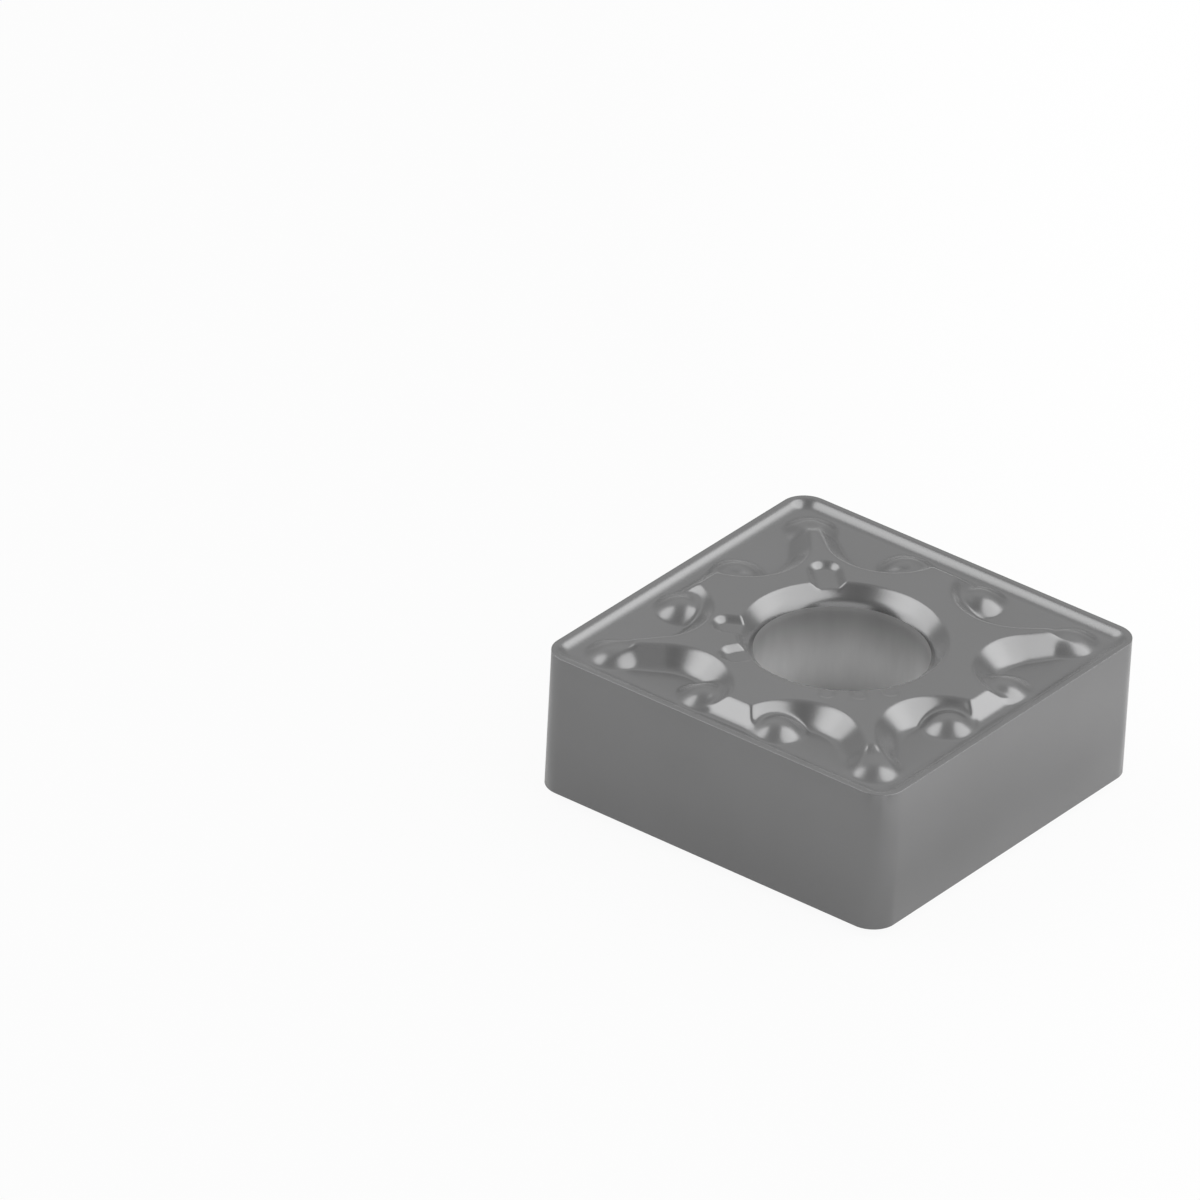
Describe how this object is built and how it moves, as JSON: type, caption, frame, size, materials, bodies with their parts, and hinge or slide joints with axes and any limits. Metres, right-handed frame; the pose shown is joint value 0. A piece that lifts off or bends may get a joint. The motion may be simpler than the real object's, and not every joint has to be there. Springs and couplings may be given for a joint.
{
  "type": "square indexable cutting insert",
  "caption": "Square double-sided carbide cutting insert with a screw bore, a raised seating face and a moulded chip-curling groove along each edge",
  "frame": {"origin": "middle of the lower seating face, on the bore axis", "axes": "X and Y run along two adjacent sides, Z along the bore axis and up through the upper seating face"},
  "size_m": [0.0126, 0.0126, 0.0051],
  "materials": {
    "carbide": "sintered tungsten carbide with a dark grey satin coating"
  },
  "bodies": {
    "root": {"insert_body": "carbide"}
  },
  "joints": []
}
